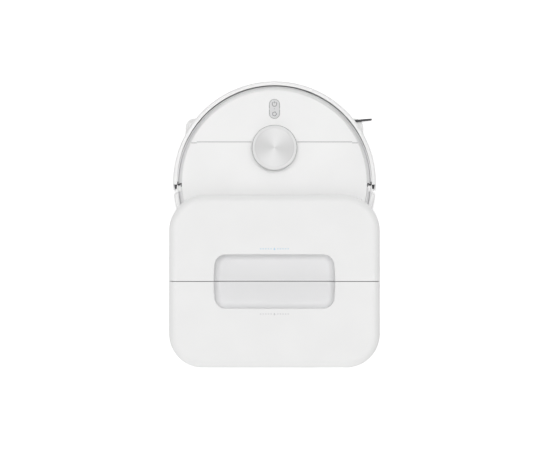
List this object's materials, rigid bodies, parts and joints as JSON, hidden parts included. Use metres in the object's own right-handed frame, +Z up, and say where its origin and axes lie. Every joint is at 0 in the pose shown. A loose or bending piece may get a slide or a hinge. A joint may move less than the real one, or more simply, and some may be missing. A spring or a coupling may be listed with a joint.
{
  "type": "robot vacuum with base station",
  "caption": "Round floor-cleaning robot backed into a tall rounded base station with two lift-out water tanks, dust bag bay and ramp plate.",
  "frame": {"origin": "middle of the set's footprint, on the floor", "axes": "+Z up, -Y the way the robot drives out of the station, +X to the robot's left as it drives out"},
  "size_m": [0.35, 0.478, 0.49],
  "materials": {
    "white_shell": "fine satin moulded white",
    "white_lid": "soft matt white top",
    "tank_clear": "milky translucent water tank",
    "tank_grey": "smoky translucent water tank",
    "inner_grey": "grey moulded inner parts",
    "dark_plastic": "near-black moulded plastic",
    "window_black": "glossy infrared window",
    "rubber_dark": "dark rubber",
    "tyre_rubber": "ribbed tyre",
    "brushed_metal": "circular brushed inlay",
    "contact_metal": "plated contact",
    "steel": "zinc-plated steel",
    "bristle": "nylon bristles",
    "mop_cloth": "looped microfibre",
    "bag_paper": "non-woven filter bag",
    "battery_blue": "heat-shrink sleeve",
    "board_green": "solder-masked board",
    "button_grey": "satin grey rocker",
    "bin_smoke": "smoky clear bin"
  },
  "bodies": {
    "dock": {"tank_shelf": "inner_grey", "dock_housing": "white_shell", "door_pins": "steel", "bag_bay": "inner_grey", "dust_bag": "bag_paper", "signal_window": "window_black", "garage_liner": "inner_grey", "base_plate": "white_shell", "rubber_feet": "rubber_dark", "wash_tray": "inner_grey", "dock_screws": "steel", "blower_case": "dark_plastic", "water_pumps": "dark_plastic", "power_supply": "dark_plastic", "dock_board": "board_green", "power_inlet": "dark_plastic"},
    "bag_door": {"bag_door": "white_shell"},
    "contacts": {"charging_contacts": "contact_metal"},
    "blower": {"blower_impeller": "dark_plastic"},
    "clean_tank": {"clean_tank": "tank_clear", "clean_lid": "white_lid"},
    "dirty_tank": {"dirty_tank": "tank_grey", "dirty_lid": "white_lid"},
    "robot": {"robot_chassis": "dark_plastic", "robot_screws": "steel", "robot_shell": "white_shell", "front_cover": "white_shell", "rear_cover": "white_shell", "rear_skirt": "white_shell", "charging_pads": "contact_metal", "turret_base": "dark_plastic", "turret_cap": "white_shell", "turret_inlay": "brushed_metal", "battery": "battery_blue", "gear_motors": "dark_plastic", "dust_bin": "bin_smoke", "robot_board": "board_green", "fan_case": "dark_plastic", "brush_housing": "dark_plastic"},
    "bumper": {"bumper": "white_shell", "bumper_window": "window_black"},
    "lidar": {"lidar_rotor": "dark_plastic"},
    "button": {"button_rocker": "button_grey"},
    "suction_fan": {"fan_impeller": "inner_grey"},
    "roller": {"roller_core": "inner_grey", "roller_fins": "rubber_dark"},
    "side_brush": {"side_brush_hub": "dark_plastic", "side_brush_bristles": "bristle"},
    "left_arm": {"left_arm": "dark_plastic"},
    "right_arm": {"right_arm": "dark_plastic"},
    "left_wheel": {"left_wheel": "inner_grey", "left_tyre": "tyre_rubber"},
    "right_wheel": {"right_wheel": "inner_grey", "right_tyre": "tyre_rubber"},
    "caster": {"caster_fork": "dark_plastic"},
    "caster_wheel": {"caster_wheel": "inner_grey"},
    "left_mop": {"left_mop_holder": "inner_grey", "left_mop_pad": "mop_cloth"},
    "right_mop": {"right_mop_holder": "inner_grey", "right_mop_pad": "mop_cloth"}
  },
  "joints": [
    {"name": "robot_drive_out", "type": "slide", "parent": "dock", "child": "robot", "axis": [0, -1, 0], "range_m": [0, 0.3]},
    {"name": "clean_tank_lift", "type": "slide", "parent": "dock", "child": "clean_tank", "axis": [0, 0, 1], "range_m": [0, 0.25]},
    {"name": "dirty_tank_lift", "type": "slide", "parent": "dock", "child": "dirty_tank", "axis": [0, 0, 1], "range_m": [0, 0.25]},
    {"name": "bag_door_swing", "type": "hinge", "parent": "dock", "child": "bag_door", "pos_m": [-0.0955, -0.0364, 0.215], "axis": [0, 0, -1], "range_deg": [0, 105]},
    {"name": "contact_press", "type": "slide", "parent": "dock", "child": "contacts", "axis": [0, 1, 0], "range_m": [0, 0.002], "stiffness_N_per_m": 400},
    {"name": "blower_spin", "type": "hinge", "parent": "dock", "child": "blower", "pos_m": [-0.072, 0.1655, 0.15], "axis": [0, 0, 1], "continuous": true},
    {"name": "bumper_press", "type": "slide", "parent": "robot", "child": "bumper", "axis": [0, 1, 0], "range_m": [0, 0.0025], "stiffness_N_per_m": 600},
    {"name": "lidar_spin", "type": "hinge", "parent": "robot", "child": "lidar", "pos_m": [0, -0.124, 0.088], "axis": [0, 0, 1], "continuous": true},
    {"name": "button_rock", "type": "hinge", "parent": "robot", "child": "button", "pos_m": [0, -0.191, 0.076], "axis": [1, 0, 0], "range_deg": [-2.5, 2.5], "stiffness_Nm_per_rad": 0.5},
    {"name": "suction_spin", "type": "hinge", "parent": "robot", "child": "suction_fan", "pos_m": [0, -0.071, 0.06], "axis": [0, 0, 1], "continuous": true},
    {"name": "roller_spin", "type": "hinge", "parent": "robot", "child": "roller", "pos_m": [0, -0.126, 0.029], "axis": [1, 0, 0], "continuous": true},
    {"name": "side_brush_spin", "type": "hinge", "parent": "robot", "child": "side_brush", "pos_m": [-0.095, -0.1676, 0.012], "axis": [0, 0, 1], "continuous": true},
    {"name": "left_arm_lift", "type": "hinge", "parent": "robot", "child": "left_arm", "pos_m": [-0.1, -0.112, 0.0353], "axis": [1, 0, 0], "range_deg": [0, 10], "stiffness_Nm_per_rad": 3, "springref_deg": -20.05},
    {"name": "right_arm_lift", "type": "hinge", "parent": "robot", "child": "right_arm", "pos_m": [0.1, -0.112, 0.0353], "axis": [1, 0, 0], "range_deg": [0, 10], "stiffness_Nm_per_rad": 3, "springref_deg": -20.05},
    {"name": "left_wheel_spin", "type": "hinge", "parent": "left_arm", "child": "left_wheel", "pos_m": [-0.118, -0.064, 0.0353], "axis": [1, 0, 0], "continuous": true},
    {"name": "right_wheel_spin", "type": "hinge", "parent": "right_arm", "child": "right_wheel", "pos_m": [0.118, -0.064, 0.0353], "axis": [1, 0, 0], "continuous": true},
    {"name": "caster_swivel", "type": "hinge", "parent": "robot", "child": "caster", "pos_m": [0, -0.192, 0.03], "axis": [0, 0, 1], "continuous": true},
    {"name": "caster_roll", "type": "hinge", "parent": "caster", "child": "caster_wheel", "pos_m": [0, -0.188, 0.0123], "axis": [1, 0, 0], "continuous": true},
    {"name": "left_mop_spin", "type": "hinge", "parent": "robot", "child": "left_mop", "pos_m": [-0.066, 0.028, 0.016], "axis": [0, 0, 1], "continuous": true},
    {"name": "right_mop_spin", "type": "hinge", "parent": "robot", "child": "right_mop", "pos_m": [0.066, 0.028, 0.016], "axis": [0, 0, 1], "continuous": true}
  ],
  "couplings": [
    {"joint": "right_mop_spin", "follows": "left_mop_spin", "ratio": -1}
  ]
}
